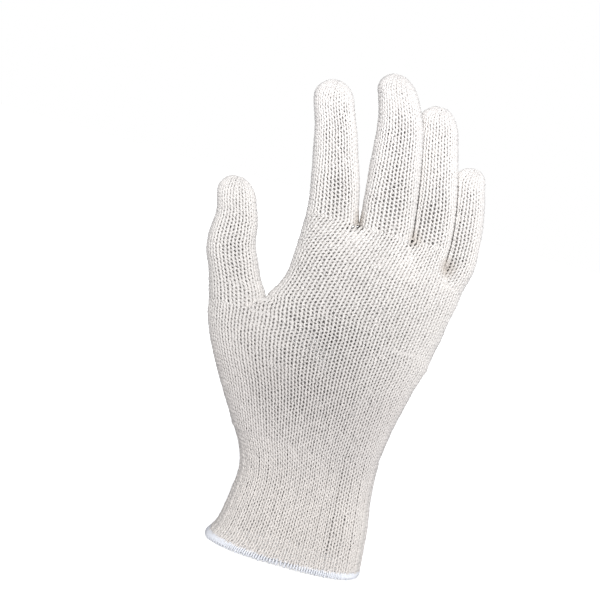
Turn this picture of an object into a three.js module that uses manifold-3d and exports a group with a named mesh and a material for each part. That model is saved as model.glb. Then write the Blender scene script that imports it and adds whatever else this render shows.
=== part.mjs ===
// A seamless string-knit cotton work glove, a right hand, filled out as it sits when worn.
// Millimetres, +Z up the wrist and hand, -Y the back of the hand, +Y its palm, thumb at -X.
// The origin is the centre of the cuff's open lower edge.
import * as THREE from 'three';
import { mergeVertices } from 'three/addons/utils/BufferGeometryUtils.js';
import Module from 'manifold-3d';

const wasm = await Module();
wasm.setup();

// Cloth and joins
const wall = 2.0;            // thickness of the knitted cloth
const seatGap = 0.3;         // clearance between two pieces that meet
const overrun = 6;           // how far a hollow runs past the end that it opens

// Hem and cuff
const hemHeight = 3.4;       // overlocked band round the cuff's edge
const hemSwell = 0.55;       // how far its thread stands off the cuff, inside and out
const cuffHeight = 58;       // cuff's edge to where the ribbing ends
const cuffWidth = 80;        // across the cuff at its edge
const cuffDepth = 52;        // front to back at its edge
const ribCount = 36;         // soft elastic ribs round the cuff
const ribDepth = 0.45;       // crest of a rib above the mean wall

// Hand
const gloveLength = 244.3;   // cuff's edge to the tip of the middle finger
const handBreadth = 84;      // across the four knuckles
const handThickness = 29;    // front to back at the knuckles
const thumbRise = 65.4;      // cuff to the fork of the thumb
const littleDrop = 7.2;      // how much lower the little finger's fork lies
const webRound = 16;         // rounded top of the web between thumb and hand
const archDrop = 9;          // how far the little-finger edge falls back from the knuckle ridge
const archSpan = 60;         // distance across over which it falls that far
const ridgeAcross = -8;      // where the ridge lies, across from the cuff's middle

// Fork to tip of each stall, and its width at the fork
const indexLength = 65.5;
const middleLength = 76;
const ringLength = 66.8;
const littleLength = 49.2;
const thumbLength = 51.8;
const indexWidth = 26.4;
const middleWidth = 27.2;
const ringWidth = 23.2;
const littleWidth = 20.8;
const thumbWidth = 28.4;

// Where the stalls stand across: the middle finger from the cuff's middle, the others beside it
const middleStand = 4.788;
const indexApart = 0.248;    // between the index and middle finger
const ringTuck = 3.78;       // how far the ring finger is tucked behind the middle finger
const littleTuck = 6.376;    // how far the little finger is tucked behind the ring finger
const thumbApart = 64.008;   // thumb to middle finger

// How forms close and melt into each other
const crotchRound = 5;       // rounded top of the palm between two fingers
const sideParting = 10;      // how far under its fork a side stall's root leaves the hand's outline
const forkDip = 3;           // how much lower the hollow parts than the cloth does at a finger's fork
const palmRoot = 26;         // how far the palm's form reaches down into the hand
const palmSoftness = 1.6;    // melting of the sections in the hand
const forkSoftness = 0.5;    // the same at the fingers' forks
const knuckleSpan = 24;      // height under the forks over which the melting tightens

// Facets
const broadPower = 2.35;     // hand and cuff sections: 2 is an ellipse, more is squarer
const stallSides = 20;
const handSides = 54;
const hemSides = 54;
const stallStep = 12;
const domeSteps = 3;
const handStep = 10;
const cuffStep = 14;
const ribFade = 0.25;        // share of the cuff over which the ribs fade at the wrist
const shelf = 0.6;           // height over which a side stall's root leaves the outline
const thinnest = 0.2;        // a section thinner than this is gone
const halvings = 24;         // steps of the search for an edge of the hand's outline
const topShare = 0.6;        // how much closer a dome's last ring lies to its apex than to the next
const tiny = 1e-6;           // too small a share to tell from none
const weld = 1e-4;           // points closer than this are one

const thumbFork = cuffHeight + thumbRise;
const mainFork = gloveLength - middleLength;
const littleFork = mainFork - littleDrop;
const indexStand = middleStand - (middleWidth + indexWidth) / 2 - indexApart;
const ringStand = middleStand + (middleWidth + ringWidth) / 2 - ringTuck;
const littleStand = ringStand + (ringWidth + littleWidth) / 2 - littleTuck;
const thumbStand = middleStand - thumbApart;

const clamp = THREE.MathUtils.clamp;
const lerp = THREE.MathUtils.lerp;

function table(columns, rows) {
  return rows.map((row) => Object.fromEntries(columns.map((name, i) => [name, row[i]])));
}

// Sections of the cuff: height as a share of cuffHeight, then shift across and width as shares of
// cuffWidth, and depth as a share of cuffDepth.
const cuffTable = table(['up', 'across', 'width', 'depth'], [
  [0.00, -0.014, 1.000, 1.00],
  [0.10, 0.005, 0.953, 0.97],
  [0.20, 0.012, 0.925, 0.94],
  [0.42, 0.015, 0.886, 0.89],
  [0.62, 0.007, 0.850, 0.85],
  [0.80, -0.016, 0.872, 0.82],
  [1.00, -0.060, 0.952, 0.80],
]);

// Sections of the hand below the thumb's fork, over the wrist: height as a share of thumbRise,
// edges as shares of handBreadth, depths as shares of handThickness.
const handTable = table(['up', 'left', 'right', 'front', 'back'], [
  [0.24, -0.631, 0.418, 0.61, 0.65],
  [0.45, -0.728, 0.452, 0.55, 0.61],
  [0.65, -0.802, 0.488, 0.52, 0.58],
  [0.81, -0.842, 0.528, 0.50, 0.54],
  [0.97, -0.862, 0.548, 0.49, 0.51],
]);

// Sections of the palm behind the index, middle and ring fingers: height as a share of the way
// from the thumb's fork to theirs, the rest as in the hand's table.
const palmTable = table(['up', 'left', 'right', 'front', 'back'], [
  [-0.60, -0.520, 0.455, 0.42, 0.44],
  [-0.38, -0.520, 0.505, 0.46, 0.48],
  [0.00, -0.508, 0.548, 0.49, 0.49],
  [0.14, -0.464, 0.556, 0.50, 0.49],
  [0.30, -0.434, 0.564, 0.50, 0.48],
  [0.54, -0.424, 0.577, 0.48, 0.46],
  [0.70, -0.420, 0.540, 0.46, 0.44],
  [0.84, -0.420, 0.470, 0.43, 0.42],
  [1.00, -0.420, 0.440, 0.40, 0.40],
]);

const colours = {
  stall: { color: '#f1efec', roughness: 0.95, metalness: 0 },
  palm: { color: '#e8e6e2', roughness: 0.95, metalness: 0 },
  cuff: { color: '#e0dcd8', roughness: 0.95, metalness: 0 },
  hem: { color: '#dfe4f0', roughness: 0.8, metalness: 0 },
};

// Each stall: where its middle stands across at the fork, how far it lies forward of the arch as a
// share of handThickness, and its sections. Height is a share of the stall's length, and shift
// across, curl, width and depth are shares of its width at the fork.
// root is how far it reaches down into the hand, as a share of its length, and dome how tall its
// rounded tip is, as a share of its width.
const stallColumns = ['up', 'across', 'curl', 'width', 'depth'];
const stalls = {
  index_finger: {
    length: indexLength, width: indexWidth, fork: mainFork, stand: indexStand, lift: 0.02,
    root: 0.64, dome: 0.386, parting: 0,
    rows: table(stallColumns, [
      [-0.60, 0.10, 0.06, 0.98, 0.92],
      [0.00, 0.00, 0.00, 1.00, 0.92],
      [0.12, -0.05, 0.01, 0.955, 0.90],
      [0.31, -0.155, 0.04, 0.925, 0.87],
      [0.49, -0.28, 0.10, 0.865, 0.83],
      [0.65, -0.39, 0.18, 0.825, 0.79],
      [0.76, -0.495, 0.25, 0.81, 0.77],
      [0.86, -0.575, 0.32, 0.78, 0.73],
      [1.00, -0.60, 0.42, 0.74, 0.68],
    ]),
  },
  middle_finger: {
    length: middleLength, width: middleWidth, fork: mainFork, stand: middleStand, lift: 0.07,
    root: 0.55, dome: 0.368, parting: 0,
    rows: table(stallColumns, [
      [-0.60, 0.08, 0.06, 0.98, 0.90],
      [0.00, 0.00, 0.00, 1.00, 0.90],
      [0.13, -0.04, 0.01, 0.985, 0.89],
      [0.40, -0.14, 0.05, 0.94, 0.86],
      [0.67, -0.255, 0.14, 0.85, 0.80],
      [0.82, -0.39, 0.22, 0.79, 0.75],
      [0.89, -0.475, 0.28, 0.76, 0.72],
      [1.00, -0.55, 0.38, 0.72, 0.68],
    ]),
  },
  ring_finger: {
    length: ringLength, width: ringWidth, fork: mainFork, stand: ringStand, lift: 0.0,
    root: 0.6, dome: 0.414, parting: 0,
    rows: table(stallColumns, [
      [-0.60, 0.02, 0.06, 0.98, 0.92],
      [0.00, 0.00, 0.00, 1.00, 0.92],
      [0.28, -0.085, 0.10, 0.98, 0.90],
      [0.54, -0.24, 0.24, 0.955, 0.87],
      [0.64, -0.305, 0.31, 0.935, 0.85],
      [0.84, -0.43, 0.48, 0.865, 0.79],
      [0.92, -0.485, 0.55, 0.83, 0.76],
      [1.00, -0.48, 0.62, 0.80, 0.73],
    ]),
  },
  little_finger: {
    length: littleLength, width: littleWidth, fork: littleFork, stand: littleStand,
    lift: -0.02, root: 0.73, dome: 0.404, parting: sideParting,
    rows: table(stallColumns, [
      [-0.70, -0.22, 0.02, 0.98, 0.92],
      [-0.25, -0.13, 0.00, 1.00, 0.92],
      [0.00, 0.00, 0.00, 1.00, 0.92],
      [0.25, 0.00, 0.07, 0.97, 0.90],
      [0.49, -0.05, 0.17, 0.93, 0.87],
      [0.70, -0.12, 0.28, 0.88, 0.83],
      [0.84, -0.18, 0.37, 0.82, 0.79],
      [1.00, -0.13, 0.46, 0.78, 0.75],
    ]),
  },
  thumb: {
    length: thumbLength, width: thumbWidth, fork: thumbFork, stand: thumbStand, lift: -0.02,
    root: 1.0, dome: 0.338, parting: sideParting,
    rows: table(stallColumns, [
      [-1.00, 0.98, -0.10, 0.96, 0.84],
      [-0.75, 0.62, -0.02, 1.06, 0.98],
      [-0.45, 0.31, 0.03, 1.10, 1.03],
      [-0.22, 0.13, 0.03, 1.06, 1.00],
      [0.00, 0.00, 0.00, 1.02, 0.96],
      [0.10, -0.09, -0.01, 0.955, 0.92],
      [0.24, -0.20, -0.02, 0.945, 0.90],
      [0.40, -0.285, -0.01, 0.855, 0.84],
      [0.63, -0.315, 0.03, 0.755, 0.74],
      [0.81, -0.415, 0.09, 0.715, 0.68],
      [1.00, -0.49, 0.15, 0.68, 0.64],
    ]),
  },
};

// One column of a table at any height: a smooth curve through its rows, level past both ends
function read(rows, column, up) {
  const last = rows.length - 1;
  const above = rows.findIndex((row) => row.up > up);
  const i = above < 0 ? last - 1 : Math.max(above - 1, 0);
  const slope = (k) => {
    const before = rows[Math.max(k - 1, 0)];
    const after = rows[Math.min(k + 1, last)];
    return (after[column] - before[column]) / (after.up - before.up);
  };
  const run = rows[i + 1].up - rows[i].up;
  const s = clamp((up - rows[i].up) / run, 0, 1);
  const start = (1 + 2 * s) * (1 - s) ** 2 * rows[i][column] + s * (1 - s) ** 2 * run * slope(i);
  const end = s * s * (3 - 2 * s) * rows[i + 1][column] - s * s * (1 - s) * run * slope(i + 1);
  return start + end;
}

// How far the middle of the hand falls back at a place across, behind the knuckle ridge
function archAt(x) {
  return archDrop * ((x - ridgeAcross) / archSpan) ** 2;
}

// A rounded end: 1 below its start, falling to 0 where it closes
function roundOff(height, start, length) {
  return Math.sqrt(Math.max(1 - clamp((height - start) / length, 0, 1) ** 2, 0));
}

// A section of the cuff at a height over its edge, its wall moved in by inset
function cuffSection(z, inset) {
  const up = z / cuffHeight;
  const depth = (cuffDepth / 2) * read(cuffTable, 'depth', up) - inset;
  const half = (cuffWidth / 2) * read(cuffTable, 'width', up) - inset;
  const x = cuffWidth * read(cuffTable, 'across', up);
  return { x, y: 0, fall: 0, half, front: depth, back: depth, power: broadPower };
}

// The hand's table with the cuff's last section as its first row, so that both meet
const wrist = cuffSection(cuffHeight, 0);
const wholeHandTable = [
  {
    up: 0,
    left: (wrist.x - wrist.half) / handBreadth,
    right: (wrist.x + wrist.half) / handBreadth,
    front: wrist.front / handThickness,
    back: wrist.back / handThickness,
  },
  ...handTable,
];

// A broad section of the hand or palm from its table, scaled by end where the form closes
function broadSection(rows, up, inset, end, fall) {
  const left = handBreadth * read(rows, 'left', up);
  const right = handBreadth * read(rows, 'right', up);
  return {
    x: (left + right) / 2,
    y: 0,
    fall,
    half: ((right - left) / 2 - inset) * end,
    front: (handThickness * read(rows, 'front', up) - inset) * end,
    back: (handThickness * read(rows, 'back', up) - inset) * end,
    power: broadPower,
  };
}

// The hand from the wrist up, closed over by the web of the thumb
function handSection(z, inset) {
  const up = (z - cuffHeight) / thumbRise;
  const end = roundOff(z, thumbFork - webRound, webRound - inset);
  return broadSection(wholeHandTable, up, inset, end, clamp(up, 0, 1));
}

// The palm behind the knuckles, closed over at the fingers' forks
function palmSection(z, inset) {
  const up = (z - thumbFork) / (mainFork - thumbFork);
  const foot = z < thumbFork - palmRoot ? 0 : 1;
  const end = roundOff(z, mainFork - crotchRound, crotchRound - inset) * foot;
  return broadSection(palmTable, up, inset, end, 1);
}

// A stall or, under its fork, its root inside the hand
function stallSection(stall, z, inset) {
  const height = z - stall.fork;
  const up = height / stall.length;
  const halfRoot = (stall.root * stall.length) / 2;
  const dome = stall.dome * stall.width;
  const foot = roundOff(-height, halfRoot, halfRoot - inset);
  const end = roundOff(height, stall.length - dome, dome - inset) * foot;
  const depth = ((stall.width / 2) * read(stall.rows, 'depth', up) - inset) * end;
  return {
    x: stall.stand + stall.width * read(stall.rows, 'across', up),
    y: archAt(stall.stand) - handThickness * stall.lift + stall.width * read(stall.rows, 'curl', up),
    fall: 0,
    half: ((stall.width / 2) * read(stall.rows, 'width', up) - inset) * end,
    front: depth,
    back: depth,
    power: 2,
  };
}

// The point of one section at an angle: 0 is its front, a quarter turn its right edge
function rimPoint(section, angle) {
  const bulge = (value) => Math.sign(value) * Math.abs(value) ** (2 / section.power);
  const face = bulge(Math.cos(angle));
  const x = section.x + section.half * bulge(Math.sin(angle));
  const depth = face > 0 ? section.front : section.back;
  return { x, y: section.y + section.fall * archAt(x) - depth * face };
}

// About how far a point lies outside one section, below zero inside it
function outside(section, x, y) {
  const { half, front, back, power } = section;
  const off = y - section.y - section.fall * archAt(x);
  const depth = off < 0 ? front : back;
  const across = Math.abs(x - section.x) / half;
  const along = Math.abs(off) / depth;
  const reach = Math.max((across ** power + along ** power) ** (1 / power), tiny);
  const slopeX = (across / reach) ** (power - 1) / half;
  const slopeY = (along / reach) ** (power - 1) / depth;
  return (reach - 1) / Math.hypot(slopeX, slopeY);
}

// The same for several sections at once, melted into each other over a softness
function outsideAll(sections, x, y, softness) {
  const near = sections.reduce((sum, section) => sum + Math.exp(-outside(section, x, y) / softness), 0);
  return -softness * Math.log(near);
}

// The outline round several sections that overlap in a row: at each place across, the front or
// back edge is found by halving the distance between a point inside and one outside.
function rowPoint(sections, angle, softness) {
  const left = Math.min(...sections.map((section) => section.x - section.half));
  const right = Math.max(...sections.map((section) => section.x + section.half));
  const x = lerp(left, right, (1 + Math.sin(angle)) / 2);
  const middles = sections.map((section) => section.y + section.fall * archAt(x));
  const depthAt = (y) => outsideAll(sections, x, y, softness);
  let inside = middles.reduce((best, y) => (depthAt(y) < depthAt(best) ? y : best));
  let beyond = inside - Math.sign(Math.cos(angle)) * cuffDepth;
  if (Math.abs(Math.cos(angle)) < tiny || depthAt(inside) > 0) return { x, y: inside };
  for (let halving = 0; halving < halvings; halving += 1) {
    const y = (inside + beyond) / 2;
    if (depthAt(y) < 0) inside = y;
    else beyond = y;
  }
  return { x, y: inside };
}

// Heights from low to high, about a step apart
function steps(low, high, step) {
  const count = Math.max(Math.ceil((high - low) / step), 1);
  return Array.from({ length: count + 1 }, (_, i) => lerp(low, high, i / count));
}

// Heights through every mark in order, with steps between them
function through(marks, step) {
  const between = marks.slice(1).flatMap((mark, i) => steps(marks[i], mark, step).slice(1));
  return [marks[0], ...between];
}

// Heights over a rounded end that starts at low, closer together near its top
function roundSteps(low, length, count) {
  const turn = Math.PI / 2 / (count + topShare);
  return Array.from({ length: count }, (_, i) => low + length * Math.sin(turn * (i + 1)));
}

// A closed solid through the outline at each height, from pointAt(z, angle). Its ends are flat,
// or the upper one rises to an apex.
function loft(heights, sides, pointAt, apex) {
  const geometry = new THREE.CylinderGeometry(1, 1, 1, sides, heights.length - 1);
  geometry.deleteAttribute('normal');
  geometry.deleteAttribute('uv');
  const place = geometry.attributes.position;
  const middle = (z) => {
    const right = pointAt(z, Math.PI / 2);
    const left = pointAt(z, -Math.PI / 2);
    return { x: (left.x + right.x) / 2, y: (left.y + right.y) / 2 };
  };
  for (let i = 0; i < place.count; i += 1) {
    const share = place.getY(i) + 0.5;
    const z = heights[Math.round(share * (heights.length - 1))];
    const onWall = Math.hypot(place.getX(i), place.getZ(i)) > 0.5;
    const flat = onWall ? pointAt(z, Math.atan2(place.getX(i), place.getZ(i))) : middle(z);
    place.setXYZ(i, flat.x, flat.y, !onWall && share > 0.5 && apex ? apex : z);
  }
  const merged = mergeVertices(geometry, weld);
  const vertProperties = new Float32Array(merged.attributes.position.array);
  const triVerts = new Uint32Array(merged.index.array);
  return new wasm.Manifold(new wasm.Mesh({ numProp: 3, vertProperties, triVerts }));
}

function piece(name, manifold, finish) {
  const mesh = manifold.getMesh();
  const geometry = new THREE.BufferGeometry();
  geometry.setAttribute('position', new THREE.BufferAttribute(mesh.vertProperties, 3));
  geometry.setIndex(new THREE.BufferAttribute(mesh.triVerts, 1));
  geometry.computeVertexNormals();
  const result = new THREE.Mesh(geometry, new THREE.MeshStandardMaterial(finish));
  result.name = name;
  return result;
}

function unite(solids) {
  return solids.reduce((sum, next) => sum.add(next));
}

// The hem wraps the cuff's cut edge: a band a little thicker than the cloth, its corners eased
function makeHem() {
  const outerHeights = [0, hemSwell, hemHeight - hemSwell, hemHeight];
  const outerPoint = (z, angle) => {
    const eased = z === outerHeights[0] || z === outerHeights[3] ? hemSwell : 0;
    return rimPoint(cuffSection(z, eased - hemSwell), angle);
  };
  const innerPoint = (z, angle) => rimPoint(cuffSection(clamp(z, 0, hemHeight), wall + hemSwell), angle);
  const outer = loft(outerHeights, hemSides, outerPoint);
  const inner = loft([-overrun, hemHeight + overrun], hemSides, innerPoint);
  return piece('hem_overlock', outer.subtract(inner), colours.hem);
}

// The cuff's wall with its soft ribs, which fade out at the wrist
function cuffForm(low, high, inset) {
  const pointAt = (z, angle) => {
    const fade = clamp((cuffHeight - z) / (cuffHeight * ribFade), 0, 1);
    return rimPoint(cuffSection(z, inset - ribDepth * fade * Math.cos(ribCount * angle)), angle);
  };
  return loft(steps(low, high, cuffStep), 2 * ribCount, pointAt);
}

function makeCuff() {
  const outer = cuffForm(hemHeight + seatGap, cuffHeight - seatGap / 2, 0);
  const inner = cuffForm(hemHeight + seatGap - overrun, cuffHeight + overrun, wall);
  return piece('wrist_cuff', outer.subtract(inner), colours.cuff);
}

// All sections of the hand at a height. A side stall's root leaves them on the way to its fork.
function handSections(z, inset) {
  const all = Object.values(stalls)
    .filter((stall) => stall.parting === 0 || z <= stall.fork - stall.parting)
    .map((stall) => stallSection(stall, z, inset));
  all.push(palmSection(z, inset), handSection(z, inset));
  return all.filter((section) => Math.min(section.half, section.front, section.back) > thinnest);
}

function handForm(heights, inset) {
  const pointAt = (z, angle) => {
    const crisp = clamp((z - (mainFork - knuckleSpan)) / knuckleSpan, 0, 1);
    return rowPoint(handSections(z, inset), angle, lerp(palmSoftness, forkSoftness, crisp));
  };
  return loft(heights, handSides, pointAt);
}

// A stall between two heights, its root included where low is under its fork
function stallForm(stall, inset, low, high) {
  const dome = stall.dome * stall.width;
  const start = stall.fork + stall.length - dome;
  const closed = high > start;
  const length = dome - inset;
  const heights = closed
    ? [...steps(low, start, stallStep), ...roundSteps(start, length, domeSteps)]
    : steps(low, high, stallStep);
  const pointAt = (z, angle) => rimPoint(stallSection(stall, z, inset), angle);
  return loft(heights, stallSides, pointAt, closed && start + length);
}

// The hand from the cuff to the fingers' forks, ending dip lower than they do
function handBody(inset, dip, under) {
  const thumbPart = thumbFork - sideParting;
  const littlePart = littleFork - sideParting;
  const low = cuffHeight + seatGap / 2;
  const marks = [
    low, thumbPart, thumbPart + shelf, thumbFork, littlePart, littlePart + shelf,
    mainFork - crotchRound, mainFork - dip,
  ];
  return handForm(through(under > 0 ? [low - under, ...marks] : marks, handStep), inset);
}

// The hand and palm, open to the cuff and to every stall
function makePalm() {
  const row = Object.values(stalls);
  const sides = row.filter((stall) => stall.parting > 0);
  const outer = unite([
    handBody(0, seatGap / 2, 0),
    ...sides.map((stall) => stallForm(stall, 0, stall.fork - stall.parting, stall.fork - seatGap / 2)),
  ]);
  const hollow = (stall) => {
    const low = stall.fork - (stall.parting || 2 * forkDip);
    return stallForm(stall, wall, low, stall.fork + overrun);
  };
  const inner = unite([handBody(wall, forkDip, overrun), ...row.map(hollow)]);
  return piece('palm', outer.subtract(inner), colours.palm);
}

// A hollow stall from its fork to its tip, pressed in where the neighbours before it push on it
function makeStall(name, neighbours) {
  const stall = stalls[name];
  const top = stall.fork + stall.length;
  const press = (form, inset) => neighbours.reduce((rest, other) => rest.subtract(other(inset)), form);
  const outer = press(stallForm(stall, 0, stall.fork + seatGap / 2, top), -seatGap);
  const inner = press(stallForm(stall, wall, stall.fork - overrun, top), -seatGap - wall);
  return piece(name, outer.subtract(inner), colours.stall);
}

const pressBy = (stall) => (inset) => (
  stallForm(stall, inset, littleFork - overrun, stall.fork + stall.length)
);
const pressByHand = (inset) => handBody(inset, 0, 0);

const glove = new THREE.Group();
glove.add(makeHem());
glove.add(makeCuff());
glove.add(makePalm());
glove.add(makeStall('thumb', [pressByHand]));
glove.add(makeStall('index_finger', [pressBy(stalls.middle_finger)]));
glove.add(makeStall('middle_finger', []));
glove.add(makeStall('ring_finger', [pressBy(stalls.middle_finger)]));
glove.add(makeStall('little_finger', [pressBy(stalls.ring_finger), pressByHand]));

export default glove;
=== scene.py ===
import math

import bpy
import numpy as np
from mathutils import Matrix, Vector


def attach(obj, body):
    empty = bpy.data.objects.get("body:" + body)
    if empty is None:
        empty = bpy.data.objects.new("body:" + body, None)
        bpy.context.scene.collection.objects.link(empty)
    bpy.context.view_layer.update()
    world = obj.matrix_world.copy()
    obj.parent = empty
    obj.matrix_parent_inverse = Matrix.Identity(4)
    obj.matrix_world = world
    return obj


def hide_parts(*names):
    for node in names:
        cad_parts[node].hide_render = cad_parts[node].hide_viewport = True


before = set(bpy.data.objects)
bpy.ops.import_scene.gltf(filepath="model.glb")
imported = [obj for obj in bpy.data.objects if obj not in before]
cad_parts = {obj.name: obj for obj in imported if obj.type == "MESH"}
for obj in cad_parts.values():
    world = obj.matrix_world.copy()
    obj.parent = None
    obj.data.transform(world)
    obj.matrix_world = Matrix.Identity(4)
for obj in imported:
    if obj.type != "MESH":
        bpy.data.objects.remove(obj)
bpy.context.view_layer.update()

bl_info = {
    "name": "Cotton Work Glove",
    "version": (1, 0, 0),
    "blender": (4, 5, 0),
    "location": "View3D > Sidebar > Glove",
    "description": "Knits a string-knit cotton work glove loop by loop around its solids",
    "category": "Add Mesh",
}

# The shape functions work in millimetres, with +Z up the hand, -Y its back and the thumb at -X.
# The meshes are in metres.
MM = 0.001
SEED = 7
TINY = 1e-6               # keeps a division away from nothing
NEARLY_NOTHING = 1e-300   # keeps a logarithm away from nothing
NEAREST = 500.0           # keeps an exponential finite at the very middle of a section
FAR = 1000.0              # farther than any point of the glove

# Sizes of the glove's solids
HEM_HEIGHT = 3.4
CUFF_HEIGHT = 58.0
CUFF_WIDTH = 80.0
CUFF_DEPTH = 52.0
HAND_BREADTH = 84.0
HAND_THICKNESS = 29.0
THUMB_FORK = CUFF_HEIGHT + 65.4
MAIN_FORK = CUFF_HEIGHT + 110.3
LITTLE_FORK = MAIN_FORK - 7.2
WEB_ROUND = 16.0
ARCH_DROP = 9.0
ARCH_SPAN = 60.0
RIDGE_ACROSS = -8.0
CROTCH_ROUND = 5.0
SIDE_PARTING = 10.0
PALM_ROOT = 26.0
PALM_SOFTNESS = 1.6
FORK_SOFTNESS = 0.5
KNUCKLE_SPAN = 24.0
BROAD_POWER = 2.35
THINNEST = 0.2
PRESSED_GAP = 0.3


def columns(names, rows):
    """One array for each named column of a table."""
    return dict(zip(names.split(), np.array(rows, float).T))


# Cuff: height as a share of its height, shift and width of its width, depth of its depth
CUFF = columns("up across width depth", [
    (0.00, -0.014, 1.000, 1.00),
    (0.10, 0.005, 0.953, 0.97),
    (0.20, 0.012, 0.925, 0.94),
    (0.42, 0.015, 0.886, 0.89),
    (0.62, 0.007, 0.850, 0.85),
    (0.80, -0.016, 0.872, 0.82),
    (1.00, -0.060, 0.952, 0.80),
])

# Hand under the thumb's fork, and palm over it: edges as shares of the hand's breadth, depths of
# its thickness
HAND = columns("up left right front back", [
    (0.00, -0.513, 0.393, 0.7172, 0.7172),
    (0.24, -0.631, 0.418, 0.61, 0.65),
    (0.45, -0.728, 0.452, 0.55, 0.61),
    (0.65, -0.802, 0.488, 0.52, 0.58),
    (0.81, -0.842, 0.528, 0.50, 0.54),
    (0.97, -0.862, 0.548, 0.49, 0.51),
])
PALM = columns("up left right front back", [
    (-0.60, -0.520, 0.455, 0.42, 0.44),
    (-0.38, -0.520, 0.505, 0.46, 0.48),
    (0.00, -0.508, 0.548, 0.49, 0.49),
    (0.14, -0.464, 0.556, 0.50, 0.49),
    (0.30, -0.434, 0.564, 0.50, 0.48),
    (0.54, -0.424, 0.577, 0.48, 0.46),
    (0.70, -0.420, 0.540, 0.46, 0.44),
    (0.84, -0.420, 0.470, 0.43, 0.42),
    (1.00, -0.420, 0.440, 0.40, 0.40),
])

STALL_COLUMNS = "up across curl width depth"


def stall(length, width, fork, stand, lift, root, dome, parting, wales, rows):
    """A finger's or thumb's own sizes.

    Heights in its rows are shares of its length, and the rest are shares of its width.
    """
    return {
        "length": length, "width": width, "fork": fork, "stand": stand * HAND_BREADTH,
        "lift": lift * HAND_THICKNESS, "root": root * length, "dome": dome * width,
        "parting": parting, "wales": wales, "rows": columns(STALL_COLUMNS, rows),
    }


STALLS = {
    "index_finger": stall(65.5, 26.4, MAIN_FORK, -0.265, 0.02, 0.64, 0.386, 0, 20, [
        (-0.60, 0.10, 0.06, 0.98, 0.92),
        (0.00, 0.00, 0.00, 1.00, 0.92),
        (0.12, -0.05, 0.01, 0.955, 0.90),
        (0.31, -0.155, 0.04, 0.925, 0.87),
        (0.49, -0.28, 0.10, 0.865, 0.83),
        (0.65, -0.39, 0.18, 0.825, 0.79),
        (0.76, -0.495, 0.25, 0.81, 0.77),
        (0.86, -0.575, 0.32, 0.78, 0.73),
        (1.00, -0.60, 0.42, 0.74, 0.68),
    ]),
    "middle_finger": stall(76.0, 27.2, MAIN_FORK, 0.057, 0.07, 0.55, 0.368, 0, 20, [
        (-0.60, 0.08, 0.06, 0.98, 0.90),
        (0.00, 0.00, 0.00, 1.00, 0.90),
        (0.13, -0.04, 0.01, 0.985, 0.89),
        (0.40, -0.14, 0.05, 0.94, 0.86),
        (0.67, -0.255, 0.14, 0.85, 0.80),
        (0.82, -0.39, 0.22, 0.79, 0.75),
        (0.89, -0.475, 0.28, 0.76, 0.72),
        (1.00, -0.55, 0.38, 0.72, 0.68),
    ]),
    "ring_finger": stall(66.8, 23.2, MAIN_FORK, 0.312, 0.0, 0.6, 0.414, 0, 18, [
        (-0.60, 0.02, 0.06, 0.98, 0.92),
        (0.00, 0.00, 0.00, 1.00, 0.92),
        (0.28, -0.085, 0.10, 0.98, 0.90),
        (0.54, -0.24, 0.24, 0.955, 0.87),
        (0.64, -0.305, 0.31, 0.935, 0.85),
        (0.84, -0.43, 0.48, 0.865, 0.79),
        (0.92, -0.485, 0.55, 0.83, 0.76),
        (1.00, -0.48, 0.62, 0.80, 0.73),
    ]),
    "little_finger": stall(49.2, 20.8, LITTLE_FORK, 0.498, -0.02, 0.73, 0.404, SIDE_PARTING, 16, [
        (-0.70, -0.22, 0.02, 0.98, 0.92),
        (-0.25, -0.13, 0.00, 1.00, 0.92),
        (0.00, 0.00, 0.00, 1.00, 0.92),
        (0.25, 0.00, 0.07, 0.97, 0.90),
        (0.49, -0.05, 0.17, 0.93, 0.87),
        (0.70, -0.12, 0.28, 0.88, 0.83),
        (0.84, -0.18, 0.37, 0.82, 0.79),
        (1.00, -0.13, 0.46, 0.78, 0.75),
    ]),
    "thumb": stall(51.8, 28.4, THUMB_FORK, -0.705, -0.02, 1.0, 0.338, SIDE_PARTING, 18, [
        (-1.00, 0.98, -0.10, 0.96, 0.84),
        (-0.75, 0.62, -0.02, 1.06, 0.98),
        (-0.45, 0.31, 0.03, 1.10, 1.03),
        (-0.22, 0.13, 0.03, 1.06, 1.00),
        (0.00, 0.00, 0.00, 1.02, 0.96),
        (0.10, -0.09, -0.01, 0.955, 0.92),
        (0.24, -0.20, -0.02, 0.945, 0.90),
        (0.40, -0.285, -0.01, 0.855, 0.84),
        (0.63, -0.315, 0.03, 0.755, 0.74),
        (0.81, -0.415, 0.09, 0.715, 0.68),
        (1.00, -0.49, 0.15, 0.68, 0.64),
    ]),
}

# Which fingers press on another one's side
PRESSED_BY = {
    "index_finger": "middle_finger",
    "ring_finger": "middle_finger",
    "little_finger": "ring_finger",
}

# The knit
# Height of one course of loops at heights up the glove
COURSE_PITCH = columns("z pitch", [
    (0, 2.02), (50, 1.98), (64, 1.86), (115, 1.80), (160, 1.82), (185, 1.96), (250, 1.98),
])

# The guide wale, which all others of the cuff and the hand are counted from: how far across it runs
# at a height, on both faces
GUIDE = columns("z x", [
    (0, 19.0), (58, 14.6), (80, 16.0), (100, 17.4), (125, 19.6), (150, 23.0), (160, 24.8), (170, 26.6),
])

# Width of a wale across the hand against the mean, and over the thumb's parting against its width there
ACROSS = columns("x width", [(-75, 1.0), (-45, 1.12), (-26, 1.2), (0, 1.04), (26, 0.92), (55, 0.85)])
NARROWING = columns("z width", [(113, 1.0), (125, 1.08), (150, 1.04), (170, 0.97)])

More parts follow.
